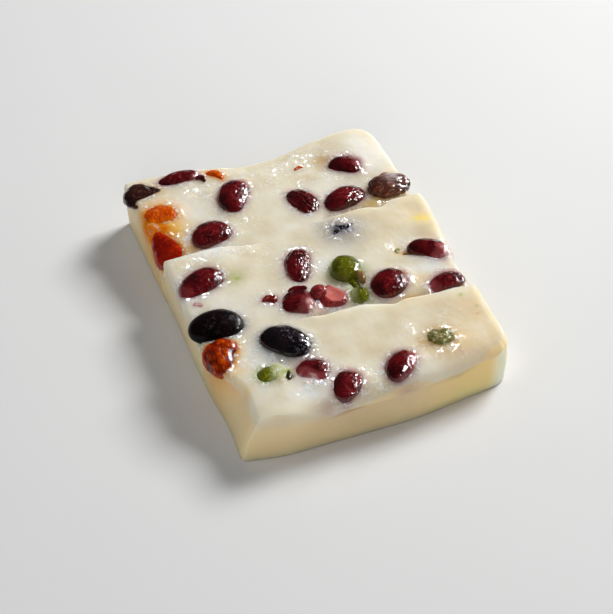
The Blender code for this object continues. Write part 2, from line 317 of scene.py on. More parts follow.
# what a skin has where its look doesn't say otherwise
plainSkin = {
    "hollowShare": 0.4, "fleck": 0.03, "roughness": 0.22, "crackle": 0.15, "uneven": 0.2,
    "glitter": 0.1, "coat": 0.7, "glow": 0.4,
}
skinLooks = {
    "red": dict(
        slot="red_bean", dark=(0.025, 0.0008, 0.0015), mid=(0.125, 0.003, 0.005),
        light=(0.3, 0.022, 0.028), milk=(0.46, 0.09, 0.1), veil=(0.72, 0.5, 0.49),
        hollow=(0.05, 0.001, 0.002), hollowShare=0.35, roughness=0.26, crackle=0.25, uneven=0.09,
        glitter=0.6, coat=0.9, glow=0.12,
    ),
    "redShard": dict(
        slot="red_bean", dark=(0.12, 0.006, 0.005), mid=(0.32, 0.03, 0.02), light=(0.62, 0.16, 0.08),
        milk=(0.5, 0.2, 0.2), hollow=(0.05, 0.001, 0.002), hollowShare=0.6, fleck=0.4, crackle=0.2,
        glitter=0.3, glow=0.3,
    ),
    # this skin's milk colour shows only in the painted reflection on brown_bean_back
    "brown": dict(
        slot="brown_bean", dark=(0.04, 0.007, 0.004), mid=(0.19, 0.04, 0.018), light=(0.42, 0.2, 0.12),
        milk=(0.52, 0.44, 0.44), hollow=(0.02, 0.004, 0.003), hollowShare=0.6, fleck=0.12, roughness=0.18,
        crackle=0.3, glitter=0.3, coat=1.0, glow=0.15,
    ),
    "husk": dict(
        slot="brown_bean", dark=(0.02, 0.005, 0.004), mid=(0.075, 0.02, 0.011),
        light=(0.11, 0.045, 0.025), milk=(0.3, 0.24, 0.21), hollow=(0.008, 0.002, 0.002), hollowShare=0.7,
        fleck=0.05, roughness=0.16, crackle=0.1, uneven=0.15, coat=1.0, glow=0.05,
    ),
    "seed": dict(
        slot="pea", dark=(0.15, 0.075, 0.02), mid=(0.33, 0.19, 0.07), light=(0.62, 0.46, 0.24),
        milk=(0.6, 0.5, 0.3), hollow=(0.12, 0.06, 0.015), hollowShare=0.6, fleck=0.4, roughness=0.3,
        crackle=0.1, coat=0.5, glow=0.3,
    ),
    "black": dict(
        slot="black_bean", dark=(0.002, 0.001, 0.002), mid=(0.009, 0.004, 0.006),
        light=(0.16, 0.14, 0.17), milk=(0.2, 0.2, 0.27), hollow=(0.001, 0.001, 0.001), hollowShare=0.3,
        roughness=0.2, crackle=0.3, uneven=0.1, glitter=0.55, coat=0.9, glow=0.0,
    ),
    "smoothBlack": dict(
        slot="black_bean", dark=(0.002, 0.001, 0.001), mid=(0.008, 0.003, 0.003),
        light=(0.03, 0.025, 0.03), milk=(0.2, 0.2, 0.27), hollow=(0.001, 0.001, 0.001), hollowShare=0.3,
        roughness=0.3, crackle=0.1, uneven=0.08, glitter=0.5, coat=0.12, glow=0.0,
    ),
    "sunkBlack": dict(
        slot="black_bean", dark=(0.006, 0.006, 0.012), mid=(0.03, 0.03, 0.05), light=(0.62, 0.63, 0.68),
        milk=(0.22, 0.23, 0.3), hollow=(0.004, 0.004, 0.008), hollowShare=0.5, fleck=0.95, roughness=0.2,
        crackle=0.8, uneven=0.3, glitter=0.8, coat=1.0, glow=0.1,
    ),
    "pea": dict(
        slot="pea", dark=(0.05, 0.06, 0.001), mid=(0.15, 0.16, 0.004), light=(0.4, 0.41, 0.06),
        milk=(0.44, 0.48, 0.24), hollow=(0.05, 0.06, 0.001), fleck=0.25, roughness=0.25, uneven=0.15,
    ),
    "darkPea": dict(
        slot="pea", dark=(0.008, 0.009, 0.001), mid=(0.03, 0.028, 0.004), light=(0.12, 0.12, 0.04),
        milk=(0.44, 0.48, 0.24), hollow=(0.006, 0.006, 0.001), fleck=0.1, roughness=0.25, uneven=0.15,
        glow=0.1,
    ),
    "drabPea": dict(
        slot="pea", dark=(0.15, 0.14, 0.02), mid=(0.42, 0.38, 0.15), light=(0.9, 0.86, 0.66),
        milk=(0.6, 0.56, 0.36), hollow=(0.12, 0.12, 0.01), hollowShare=0.7, fleck=1.0, roughness=0.28,
        crackle=0.5, uneven=0.3, glitter=0.5, glow=0.3,
    ),
    "pumpkin": dict(
        slot="pumpkin", dark=(0.48, 0.045, 0.0005), mid=(0.7, 0.1, 0.001), light=(0.84, 0.2, 0.002),
        milk=(0.82, 0.2, 0.003), hollow=(0.48, 0.05, 0.0005), hollowShare=0.5, fleck=0.35, roughness=0.28,
        crackle=0.3, glitter=0.5, coat=0.35,
    ),
    "foldedPumpkin": dict(
        slot="pumpkin", dark=(0.22, 0.01, 0.0004), mid=(0.5, 0.042, 0.0004), light=(0.8, 0.17, 0.001),
        milk=(0.86, 0.32, 0.008), hollow=(0.09, 0.004, 0.0005), hollowShare=0.95, fleck=0.25, uneven=0.15,
        glitter=0.2, coat=0.6,
    ),
    "darkPumpkin": dict(
        slot="pumpkin", dark=(0.25, 0.004, 0.0003), mid=(0.44, 0.012, 0.0003), light=(0.68, 0.07, 0.001),
        milk=(0.8, 0.22, 0.004), hollow=(0.14, 0.004, 0.0005), fleck=0.2, crackle=0.2, uneven=0.12,
        glitter=0.4, coat=0.8,
    ),
    "split": dict(
        slot="split_bean", dark=(0.1, 0.006, 0.008), mid=(0.24, 0.02, 0.022), light=(0.5, 0.1, 0.1),
        flesh=(0.55, 0.15, 0.13), milk=(0.5, 0.25, 0.25), hollow=(0.2, 0.02, 0.02), hollowShare=0.2,
        fleck=0.3, roughness=0.3, glitter=0.2, coat=0.5,
    ),
}
skins = {name: skinMaterial(name + "Skin", plainSkin | look) for name, look in skinLooks.items()}
print("skins ready:", len(skins))


# one geometry tree makes all beans, peas and pumpkin
def beanTree():
    tree, given = newTree(
        "beanMaker",
        Length=12.0, Width=8.0, Thick=7.0, Fullness=2.5, Taper=0.05, Bend=0.1,
        Crease=0.3, CreaseLong=5.0, CreaseWide=1.7, Dent=0.4, DentSize=5.0,
        Seed=0.0, Detail=6, Skin="",
    )
    ball = geometryNode(tree, "MeshIcoSphere", Subdivisions=given["Detail"])
    along, across, up = separate(tree, geometryNode(tree, "InputPosition"))
    # a fuller or slimmer end than a ball's, tapered and bent
    squared = times(tree, along, along)
    ring = calc(tree, "MAXIMUM", calc(tree, "SUBTRACT", 1, squared), 0.001)
    power = calc(tree, "POWER", calc(tree, "ABSOLUTE", along), given["Fullness"])
    full = calc(tree, "MAXIMUM", calc(tree, "SUBTRACT", 1, power), 0)
    full = calc(tree, "POWER", full, calc(tree, "DIVIDE", 1, given["Fullness"]))
    swell = calc(tree, "DIVIDE", full, calc(tree, "SQRT", ring))
    swell = times(tree, swell, linear(tree, given["Taper"], along, 1))
    bow = times(tree, given["Bend"], linear(tree, squared, -2, 1))
    form = combine(tree, along, linear(tree, across, swell, bow), times(tree, up, swell))
    half = [times(tree, given[size], mm / 2) for size in ("Length", "Width", "Thick")]
    form = vectorCalc(tree, "MULTIPLY", form, combine(tree, *half))
    bean = geometryNode(tree, "SetPosition", ball, Position=form)
    # broad dents, then narrow creases along the bean
    shift = combine(tree, given["Seed"], given["Seed"], 0)
    spot = scaled(tree, geometryNode(tree, "InputPosition"), 1 / mm)
    dented = scaled(tree, spot, calc(tree, "DIVIDE", 1, given["DentSize"]))
    swelling = noiseTexture(tree, vectorCalc(tree, "ADD", dented, shift), 1, 1)[0]
    dent = times(tree, calc(tree, "SUBTRACT", swelling, 0.5), given["Dent"])
    sizes = [calc(tree, "DIVIDE", 1, given[size]) for size in ("CreaseLong", "CreaseWide", "CreaseWide")]
    lined = vectorCalc(tree, "MULTIPLY", spot, combine(tree, *sizes))
    lined = noiseTexture(tree, vectorCalc(tree, "ADD", lined, shift), 1, 1)[0]
    line = calc(tree, "MINIMUM", calc(tree, "ABSOLUTE", linear(tree, lined, 2, -1)), 1)
    line = calc(tree, "POWER", calc(tree, "SUBTRACT", 1, line), 5)
    crease = times(tree, line, given["Crease"])
    depth = times(tree, calc(tree, "SUBTRACT", dent, crease), mm)
    # how deep a place lies, for the painted shade in dents and creases
    deep = calc(tree, "MAXIMUM", fade(tree, swelling, 0.52, 0.36), calc(tree, "POWER", line, 2))
    bean = geometryNode(tree, "StoreNamedAttribute", bean, Name="deep", Value=deep)
    offset = scaled(tree, geometryNode(tree, "InputNormal"), depth)
    bean = geometryNode(tree, "SetPosition", bean, Offset=offset)
    endTree(tree, bean, given["Skin"])
    return tree


beanKinds = {
    "red": dict(
        Fullness=2.25, Taper=0.08, Bend=0.1, Crease=0.08, CreaseLong=6.0, CreaseWide=2.2, Dent=0.55,
        DentSize=4.5,
    ),
    "brown": dict(
        Fullness=2.25, Taper=-0.08, Bend=0.06, Crease=0.45, CreaseLong=7.0, CreaseWide=2.2, Dent=1.1,
        DentSize=4.0,
    ),
    "black": dict(Fullness=2.1, Taper=0.03, Bend=0.05, Crease=0.04, Dent=0.4),
    "pea": dict(Fullness=2.1, Taper=0.0, Bend=0.0, Crease=0.08, Dent=0.5, DentSize=3.5),
    "pumpkin": dict(
        Fullness=2.8, Taper=0.0, Bend=0.05, Crease=0.25, CreaseLong=4.0, CreaseWide=1.2, Dent=0.9,
        DentSize=3.0,
    ),
}
seedStep = {"beans": 3.7, "scraps": 5.3}  # so that each gets its own dents

# each bean, pea and piece of pumpkin by its CAD node: length, width and thickness, and turn;
# kind: the first word of its name, if not given; skin: its look, if not that of its kind;
# lean: tilt and roll; film: the side that the cake's film comes from, in degrees, and the share
# of the bean that it covers; bloom: a painted reflection, a pale patch by its place
# from the middle and its reach; halo: how far its colour spreads; tint: the colour that spreads;
# bank: how much the cake swells round it; open: torn open; form: what differs from its kind
beans = {
    "brown_bean_corner": dict(
        skin="husk", size=(11.2, 6.0, 5.0), turn=9, lean=(4, 0),
        form=dict(Bend=0.3, Taper=-0.3, Crease=0.15, CreaseWide=3.4, Dent=1.6, DentSize=3.6),
    ),
    "red_bean_rim": dict(size=(12.6, 4.9, 4.5), turn=2, film=(-60, 0.1)),
    "pumpkin_shred": dict(
        size=(5.8, 2.6, 1.9), turn=-52, halo=1.2, form=dict(Bend=0.5, Taper=-0.2, Dent=0.5, Crease=0.1),
    ),
    "red_bean_back_1": dict(size=(13.2, 8.8, 6.9), turn=64, film=(60, 0.12)),
    "red_bean_back_2": dict(size=(11.4, 7.8, 6.0), turn=-74, form=dict(Crease=0.28, CreaseWide=1.8)),
    "red_bean_back_3": dict(size=(9.8, 7.2, 5.8), turn=-30, film=(-10, 0.12)),
    "red_bean_back_4": dict(size=(13.0, 7.7, 6.3), turn=14, form=dict(Crease=0.2, CreaseWide=2.0)),
    "brown_bean_back": dict(size=(12.8, 8.7, 7.4), turn=2, bloom=(1.0, 0.6, 2.2)),
    "red_bean_back_5": dict(size=(11.7, 9.2, 6.8), turn=14),
    "pumpkin_back": dict(
        size=(10.0, 8.4, 5.2), turn=-15, film=(-105, 0.2), halo=2.2,
        form=dict(Fullness=2.5, Crease=0.12, CreaseWide=2.6, CreaseLong=1.1),
    ),
    "pumpkin_edge": dict(
        skin="darkPumpkin", size=(12.8, 7.8, 5.0), turn=104, lean=(-14, -30), halo=1.8,
        form=dict(Taper=-0.45, Crease=0.08, CreaseWide=2.4, DentSize=4.0),
    ),
    "black_bean_sunk": dict(
        skin="sunkBlack", size=(8.2, 6.6, 5.2), turn=-20, halo=3.2,
        form=dict(Dent=1.2, DentSize=1.6, Crease=0.5, CreaseWide=1.2),
    ),
    "red_bean_middle_1": dict(size=(13.9, 8.4, 6.6), turn=21, lean=(-4, 0), film=(215, 0.05)),
    "red_bean_middle_2": dict(size=(13.0, 7.2, 6.0), turn=71, form=dict(Crease=0.2, CreaseWide=1.8)),
    "pea_middle_1": dict(size=(8.6, 8.5, 8.4), turn=-20),
    "pea_middle_2": dict(size=(6.1, 5.8, 5.6), turn=-20, film=(150, 0.33)),
    "red_bean_middle_3": dict(
        size=(11.3, 9.5, 8.0), turn=29, film=(20, 0.1), bank=0.7,
        form=dict(Fullness=2.05, Bend=0.04, Dent=0.35),
    ),
    "red_bean_middle_4": dict(size=(12.2, 6.8, 5.8), turn=-38, film=(-48, 0.24)),
    "red_bean_middle_5": dict(size=(11.0, 6.1, 5.2), turn=7, film=(-150, 0.1)),
    "red_bean_middle_6": dict(
        size=(9.1, 8.7, 6.6), turn=-20, film=(-40, 0.26), form=dict(Crease=0.2, Dent=0.8, DentSize=3.4),
    ),
    "red_bean_chip": dict(
        skin="redShard", size=(4.6, 3.6, 2.8), turn=-20,
        form=dict(Crease=0.4, Dent=1.5, DentSize=2.0, CreaseWide=1.0),
    ),
    "black_bean_left": dict(skin="smoothBlack", size=(14.6, 9.9, 8.2), turn=-5),
    "black_bean_right": dict(size=(14.0, 9.6, 7.8), turn=-45, bank=0.8),
    "pumpkin_front": dict(
        skin="foldedPumpkin", size=(11.2, 9.2, 7.2), turn=80, halo=1.0,
        form=dict(Taper=0.3, Dent=1.7, DentSize=3.6, Crease=0.08, CreaseWide=2.6),
    ),
    "pea_front_1": dict(size=(6.9, 5.4, 5.2), turn=0, film=(-10, 0.3)),
    "olive_chip": dict(kind="pea", skin="darkPea", size=(3.3, 2.5, 2.4), turn=70),
    "red_bean_front_1": dict(size=(9.3, 8.4, 6.4), turn=-39, film=(235, 0.28), form=dict(Dent=0.25)),
    "red_bean_front_2": dict(size=(9.9, 7.9, 6.2), turn=37, bank=0.5),
    "red_bean_front_3": dict(size=(10.6, 7.2, 6.0), turn=40, film=(-30, 0.26)),
    "pea_front_2": dict(
        skin="drabPea", size=(8.1, 6.7, 5.2), turn=-20, tint="tan", halo=2.4,
        form=dict(Crease=0.5, CreaseWide=1.4, CreaseLong=2.2, Dent=1.8, DentSize=2.4),
    ),
    "red_bean_split": dict(
        skin="split", size=(9.2, 7.2, 6.0), turn=-3, open=True, form=dict(Crease=0.05, Dent=0.4),
    ),
}
for node, bean in beans.items():
    bean.setdefault("kind", node.split("_")[0])
    bean.setdefault("skin", bean["kind"])


def pieceName(node):
    first, *rest = node.split("_")
    return first + "".join(word.title() for word in rest)


def placed(mesh, bean, node):
    # turns a mesh made at the origin and moves it to where its node lies
    mesh.transform(rotation(bean["turn"], *bean.get("lean", ())))
    points = pointsOf(mesh)
    low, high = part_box(node)
    middle = (points.min(0) + points.max(0)) / 2
    mesh.transform(Matrix.Translation((low + high) / 2 - Vector(middle)))
    return mesh


# the opening of the torn bean, as shares of the bean's half length, width and height
bowl = {
    "place": 0.24, "length": 0.76, "width": 0.98, "depth": 0.46,
    "slope": (0.1, 0.88), "flesh": (0.74, 0.86),  # from the middle of the opening to its rim
    "rim": (0.05, 0.9, 0.22),  # height, place, width
    "peak": (0.3, 0.15, 0.3),  # height, place and reach along the bean
    "peakSide": (0.3, 0.9),
    "ragged": (0.16, 2.6),  # depth and number of the tears
}


def cupped(mesh):
    # presses the top of a bean in, so that its skin stands round the flesh
    points = pointsOf(mesh)
    middle = (points.max(0) + points.min(0)) / 2
    half = (points.max(0) - points.min(0)) / 2
    inside = np.zeros(len(points), np.float32)
    tear, tears = bowl["ragged"]
    peakHeight, *peakPlace = bowl["peak"]
    rimHeight, *rimPlace = bowl["rim"]
    for i, place in enumerate((points - middle) / half):
        if place[2] <= 0:
            continue
        radius = math.hypot((place[0] - bowl["place"]) / bowl["length"], place[1] / bowl["width"])
        torn = radius + 0.5 * (tear * noise.noise(Vector(place) * tears))
        inside[i] = 1 - smooth(torn, *bowl["flesh"])
        press = bowl["depth"] * (1 - smooth(torn, *bowl["slope"]))
        peak = peakHeight * hump(place[0], *peakPlace) * smooth(place[1], *bowl["peakSide"])
        points[i, 2] -= half[2] * (press - (rimHeight + peak) * hump(radius, *rimPlace))
    mesh.vertices.foreach_set("co", points.astype(np.float32).ravel())
    return inside


# the cake's film on a bean, and the side on which a bean shines, where light flecks are painted as a
# highlight
veil = {
    "wander": (0.22, 2.4),  # depth of the edge's waves, as a share of half a bean, and their size
    "edge": (-0.42, 0.12),
    "sides": (-0.4, 0.2),
    "strength": 0.8,
    "shine": (0.47, -0.42, 0.77),
    "shineEdge": (0.5, 0.92),
}


def filmReach(bean, low, high, x, y):
    # above 0 where the cake's film lies over a bean, below 0 where the bean is bare
    angle, share = bean["film"]
    course = (math.cos(math.radians(angle)), math.sin(math.radians(angle)))
    reach = abs(course[0]) * (high[0] - low[0]) / 2 + abs(course[1]) * (high[1] - low[1]) / 2
    along = (x - (low[0] + high[0]) / 2) * course[0] + (y - (low[1] + high[1]) / 2) * course[1]
    depth, waves = veil["wander"]
    wander = depth * noise.noise(Vector((x / waves, y / waves, 7.3)))
    return along / reach + wander - (1 - 2 * share)


def paintBean(mesh, bean, inside=None):
    # attributes for the finish: film, the lit side that the light crackles on and that gets painted
    # highlight flecks, open flesh
    points = pointsOf(mesh) / mm
    low, high = points.min(0), points.max(0)
    normals = np.empty(len(points) * 3, np.float32)
    mesh.vertex_normals.foreach_get("vector", normals)
    normals = normals.reshape(-1, 3)
    film = np.zeros(len(points))
    if "film" in bean:
        for i, (x, y, z) in enumerate(points):
            film[i] = smooth(filmReach(bean, low, high, x, y), *veil["edge"])
        film *= smooth(normals[:, 2], *veil["sides"])
    # painted reflection: a pale patch in the milk colour, carried in the film layer
    if "bloom" in bean:
        offX, offY, reach = bean["bloom"]
        middleX, middleY = (low[:2] + high[:2]) / 2
        bloom = patch(points[:, 0], points[:, 1], middleX + offX, middleY + offY, reach, reach)
        film = np.maximum(film, bloom)
    addLayers(mesh, {
        "film": veil["strength"] * film,
        "pale": smooth(normals @ np.array(veil["shine"]), *veil["shineEdge"]),
        "inside": np.zeros(len(points)) if inside is None else inside,
    })


def makeBeans():
    tree = beanTree()
    growers = []
    for seed, (node, bean) in enumerate(beans.items()):
        values = sized(bean["size"]) | beanKinds[bean["kind"]] | bean.get("form", {})
        values["Seed"] = seedStep["beans"] * seed
        values["Skin"] = skins[bean["skin"]]
        values["Detail"] = 6 if values["Length"] > 7 else 5
        growers.append(growing(pieceName(node), tree, values))
    meshes = harvest(growers)
    pieces = {}
    for node, bean in beans.items():
        mesh = placed(meshes[pieceName(node)], bean, node)
        paintBean(mesh, bean, cupped(mesh) if "open" in bean else None)
        pieces[node] = addPiece(pieceName(node), mesh, skinLooks[bean["skin"]]["slot"], node)
    return pieces


beanPieces = makeBeans()
print("beans ready:", len(beanPieces))


# the slab: three strips, grown together where the cuts have closed again
slab = {
    "length": 77.8,
    "depth": 99.4,
    "height": 15.9,
    "gap": 0.3,
    "closed": ((-30, -26, -12, -4), (-15, -9, 5, 12)),  # X over which each cut closes, and opens again
    "leftRound": 2.0,
    "rightRound": (1.5, 2.8),  # at the back and at the front
    "rightTurn": (12, -8),  # Y over which one becomes the other
    "backRound": 1.4,
    "shoulder": 6.5,
    "crest": 1.2,
    "crestWidth": 7.0,
    "crestDip": (-5, 9, 0.6),  # X, reach, share
    "crestStart": (-30, -18),  # on the front strip
    "leftLean": 0.8,
    "cornerLean": 4.6,  # the rim of the left wall stands in by this much at the front
    "cornerStart": (25, 40),  # over this -Y
    "cornerBend": 1.7,
    "belly": 0.3,
    "cutCorner": 0.9,
    "backCorners": (1.6, 6.0),  # left, right
    "frontCorners": (1.6, 5.0),
    "footRound": 0.35,
    "step": 0.37,  # of the grid
    "shoulderLoops": 18,
    "backLoops": 6,
    "sideLoops": 14,
    "cutLoops": (0.15, 0.3, 0.5, 0.7, 0.85),  # shares of the way down and up again
    "wallLoops": 18,
    "footLoops": (0.018, 0.008, 0.0025, 0),  # shares of the height
    "underLoops": (0.985, 0.94, 0.8, 0.6, 0.35, 0.12),  # shares of the way out from the middle
}
halfLength = slab["length"] / 2
halfDepth = slab["depth"] / 2

# outlines along X or Y: place, slope, ramps (start, end, rise) and humps (middle, reach, rise)
outlines = {
    "front": {"at": -halfDepth, "ramps": ((6, 40, 3.4), (-26, -39, 1.9))},
    "frontCut": {
        "at": -20.6, "slope": -0.06, "ramps": ((5, 12, -1.2),), "humps": ((14.5, 2.4, -0.9), (27, 4, -0.6)),
    },
    "backCut": {"at": 14.2, "slope": 0.03, "humps": ((25.5, 2.6, -1.8), (-13, 6, -1.8))},
    "back": {"at": halfDepth, "ramps": ((-34, -26, -1.4),), "humps": ((1, 14, -2.2),)},
    "left": {
        "at": 1.6 - halfLength,  # beans stand out over the left rim
        "ramps": ((-25, -40, slab["cornerLean"]),), "humps": ((-36, 9, 0.8), (5, 9, 0.3)),
    },
    "right": {
        "at": halfLength,
        "ramps": ((14, 16, -1.9), (25, 45, -0.8), (15, -20, -0.8)), "humps": ((-14, 7, -1.2),),
    },
}
# how far each strip's shoulder falls at its front, from the front strip to the back one
shoulderFalls = (
    {"at": 1.2, "ramps": ((-26, -13, 3.9),)},
    {"at": 0.5, "ramps": ((-14, 4, 3.0), (-24, -36, 2.2))},
    {"at": 0.5, "ramps": ((6, 20, 2.8), (-17, -34, 2.5))},
)

# soft rises and dents: X, Y, reach each way, height
swells = (
    (28.5, 41.5, 11, 10, 1.5), (1, 46, 17, 7, -1.8), (17, 37, 4, 5, -0.7), (-35, 50, 6, 6, -0.8),
    (-17, 25, 9, 7, -0.5), (25, 25, 7, 4, -0.6), (-22, 6, 9, 5, 0.5),
    (25, 4, 12, 6, 0.6), (7, -12, 9, 5, -0.8), (-8, -5, 14, 5, -0.3),
    (7, -31, 12, 7, 0.5), (-23, -34, 8, 6, -0.5), (2, -43, 7, 4, -0.8), (-38, -50, 7, 9, -3.4),
)
backSag = (-39, 18, 6, 7, -5.5)  # only in the back strip

# hollows with a steeper rim: X, Y, reach each way, depth
hollows = (
    (28.6, -2.4, 6.0, 5.4, 1.3), (9.5, 30.5, 4.5, 3.0, 0.5),
    (-12, 13.5, 7.0, 2.5, 0.6), (-20.2, -38.4, 1.1, 1.0, 1.0),
)

# places with a finish of their own: X, Y, reach each way, strength
spots = {
    "wet": (
        (14, 40, 8, 5, 1.1), (2, 38, 8, 5, 0.9), (-14, 37, 6, 5, 1.1), (5, 30, 6, 4, 0.9),
        (-20, 38, 4, 3, 1.0), (-18, 11, 6, 2.5, 1.3), (-27, 21, 4, 4, 1.3), (-29, 10, 6, 3, 1.1),
        (-22, -29, 5, 4, 1.0), (-26, -26, 4, 4, 1.0), (-20, -30, 5, 4, 1.2), (-14, -44, 6, 4, 1.0),
        (-18, -36, 4, 4, 0.7), (25, -4, 5, 4, 0.9), (34, -13, 4, 5, 0.9), (-8, 4, 6, 5, 0.6),
        (12, 8, 5, 4, 0.8), (20, -42, 8, 4, 0.7), (0, -46, 6, 4, 0.8), (-16, 22, 8, 5, 0.7),
        (18, 30, 7, 4, 0.6), (-19, -23, 4, 4, 0.8),
        (2, -10, 5, 4, 0.6), (26, -32, 4, 3, 0.3), (14, -34, 3, 3, 0.5), (31, -24, 3, 2, 0.4),
    ),
    "white": (
        (-23.3, 11.4, 7.0, 2.6, 0.8), (32, 36, 8, 9, 0.8), (-22.5, 31, 7, 6, 0.6), (-21.6, -28, 6, 5, 1.0),
        (-14, -42, 7, 4, 0.8), (-16.4, -45.2, 8, 3, 0.9), (-28, -41, 4, 4, 0.5), (30, -13.5, 6, 2.5, 0.9),
        (3, -2.5, 3.5, 3.5, 0.9), (-27.4, 20.3, 2.6, 3, 0.8), (-24, -10, 8, 6, 0.5), (-35, -1, 4, 9, 0.5),
        (9, 1, 5, 4, 0.5), (2.3, 14.7, 9, 2.5, 0.3), (20, 24, 12, 4, 0.4), (10, -21.5, 9, 2, 0.4),
        (16, -46.5, 9, 2, 0.5),
    ),
    "amber": (
        (24, -42, 10, 6, 0.28), (31, -33, 6, 8, 0.15), (33, 6, 6, 7, 0.12), (24, -5.5, 1.8, 1.4, 0.8),
        (27.5, -4, 2, 1.6, 0.75), (19.5, -22.4, 3.2, 1.3, 0.75), (24.5, -17, 2.5, 2.5, 0.35),
        (25, 16.5, 6, 1.6, 0.6), (-35.5, -38, 5, 3, 0.35), (-32, -39, 1.4, 2.4, 0.35),
        (-36.5, -32.5, 3, 3.5, 0.6), (-37.5, -26, 2, 5, 0.9), (-32, -31.5, 2.4, 2, 0.5),
        (-29, -22.8, 2, 2, 0.8), (-30.8, 24.6, 4.6, 6, 1.0), (-36.2, 27.5, 2, 5, 0.9),
        (-27, 16.5, 2.5, 1.8, 0.8), (34.5, 1.5, 3, 3, 0.15), (-37.4, -36, 2.6, 7, 0.5),
    ),
    "orange": (
        (-32.6, 24, 3.2, 4.5, 0.8), (-35.8, 28.5, 2.6, 6, 1.0), (-37.5, 21, 2, 5, 0.8),
        (-31.8, 31, 5.6, 3.6, 1.0), (-34.6, 27.2, 3.2, 4.2, 2.2), (-32.4, 23, 2.6, 3, 1.1),
    ),
    "tan": (
        (-20.2, -38.4, 1.3, 1.1, 1.0), (18.5, 38, 3, 2.2, 0.8), (16.5, -39, 2.6, 2.2, 0.8),
        (21.5, -36.5, 3, 1.6, 0.5), (33.3, -34.3, 0.5, 0.35, 0.7),
    ),
    "yellow": ((34, 5, 2.4, 1.4, 0.7), (35.6, 4.2, 0.9, 0.8, 0.9)),
    "green": (
        (-21.3, 0.5, 3, 2.4, 0.6), (-20.4, 0.2, 1.3, 1, 0.95), (31.6, -27.3, 0.5, 0.5, 0.9),
        (34.1, -31.9, 0.45, 0.4, 0.7),
    ),
    "red": (
        (11, 19, 2.5, 1.5, 0.3), (7.8, -49.8, 3.4, 1.2, 0.45), (-9.5, -49.8, 3, 1.2, 0.35),
        (-13.8, -49, 2.5, 1.5, 0.35), (25.5, -45.5, 4, 1, 0.18), (-33.5, -5.2, 2, 1.5, 0.3),
        (-4.2, -17.4, 2.4, 2.2, 0.9),
    ),
    "black": ((12.7, 9.2, 4.6, 3.6, 0.30),),
    "calm": (),
}


def quarterRound(distance, reach):
    part = np.clip(distance / reach, 0, 1)
    return 1 - np.sqrt(1 - (1 - part) ** 2)


def follow(outline, along):
    place = outline["at"] + outline.get("slope", 0) * along
    for start, end, rise in outline.get("ramps", ()):
        place = place + rise * smooth(along, start, end)
    for middle, reach, rise in outline.get("humps", ()):
        place = place + rise * hump(along, middle, reach)
    return place


def stripLines(strip, x):
    # Y of a strip's front and back; strip 0 is the front one
    lines = ("front", "frontCut", "backCut", "back")
    front, back = (follow(outlines[lines[i]], x) for i in (strip, strip + 1))
    half = slab["gap"] / 2
    return front + (half if strip > 0 else 0), back - (half if strip < 2 else 0)


def cutOpen(strip, x):
    # 0 where the cut at a strip's back has closed again, 1 where it stands open
    closing, closed, opening, opened = slab["closed"][strip]
    return 1 - smooth(x, closing, closed) * (1 - smooth(x, opening, opened))


def shoulderFall(strip, x):
    fall = follow(shoulderFalls[strip], x)
    return fall * cutOpen(strip - 1, x) if strip else fall


def crestRise(strip, x):
    if strip == 2:
        return 0 * x
    middle, reach, share = slab["crestDip"]
    rise = slab["crest"] * (1 - share * hump(x, middle, reach)) * cutOpen(strip, x)
    return rise * smooth(x, *slab["crestStart"]) if strip == 0 else rise


def topHeight(strip, x, y):
    z = slab["height"] + 0 * x
    for *place, rise in swells + ((backSag,) if strip == 2 else ()):
        z = z + rise * patch(x, y, *place)
    for hollowX, hollowY, reachX, reachY, depth in hollows:
        around = ((x - hollowX) / reachX) ** 2 + ((y - hollowY) / reachY) ** 2
        z = z - depth * np.exp(-(around**2))
    front, back = stripLines(strip, x)
    z = z + crestRise(strip, x) * hump(y, back, slab["crestWidth"])
    return z - shoulderFall(strip, x) * quarterRound(y - front, slab["shoulder"])


def rounded(reach, count):
    # distances from an edge that sample its rounding evenly
    return [reach * (1 - math.cos(math.pi / 2 * i / count)) for i in range(count)]


def spaced(start, end, step):
    count = max(round((end - start) / step), 1)
    return [start + (end - start) * i / count for i in range(count + 1)]


def roundCorner(u, v, reachU, reachV):
    overU = np.maximum(np.abs(u) - (1 - reachU), 0) / reachU
    overV = np.maximum(np.abs(v) - (1 - reachV), 0) / reachV
    both = (overU > 0) & (overV > 0)
    scale = np.where(both, np.maximum(overU, overV) / np.maximum(np.hypot(overU, overV), 1e-9), 1)
    newU = np.where(both, np.sign(u) * (1 - reachU + overU * scale * reachU), u)
    newV = np.where(both, np.sign(v) * (1 - reachV + overV * scale * reachV), v)
    return newU, newV


def stripGrid(strip, columns):
    # top of one strip, as arrays of rows by columns
    front, back = stripLines(strip, 0.0)
    depth = back - front
    near = rounded(slab["shoulder"], slab["shoulderLoops"])
    far = rounded(slab["backRound"], slab["backLoops"])
    rows = near + spaced(slab["shoulder"], depth - slab["backRound"], slab["step"])
    rows += [depth - place for place in reversed(far)]
    u, v = np.meshgrid(columns, [2 * row / depth - 1 for row in rows])
    toSide = (1 - np.abs(u)) * halfLength
    toBack = (1 - v) * depth / 2
    leftSide = u < 0
    radius = np.full_like(u, slab["cutCorner"])
    if strip == 2:
        radius = np.where(v > 0, np.where(leftSide, *slab["backCorners"]), radius)
    if strip == 0:
        radius = np.where(v < 0, np.where(leftSide, *slab["frontCorners"]), radius)
    u, v = roundCorner(u, v, radius / halfLength, 2 * radius / depth)
    front, back = stripLines(strip, u * halfLength)
    y = front + (back - front) * (v + 1) / 2
    x = u * np.where(leftSide, -follow(outlines["left"], y), follow(outlines["right"], y) - slab["belly"])
    narrow, wide = slab["rightRound"]
    rightRound = narrow + (wide - narrow) * smooth(y, *slab["rightTurn"])
    sideRound = np.where(leftSide, slab["leftRound"], rightRound)
    sideFall = sideRound * quarterRound(toSide, sideRound)
    backRound = slab["backRound"] * (1 if strip == 2 else cutOpen(strip, x))
    backFall = backRound * quarterRound(toBack, slab["backRound"])
    return x, y, topHeight(strip, x, y) - np.maximum(sideFall, backFall)


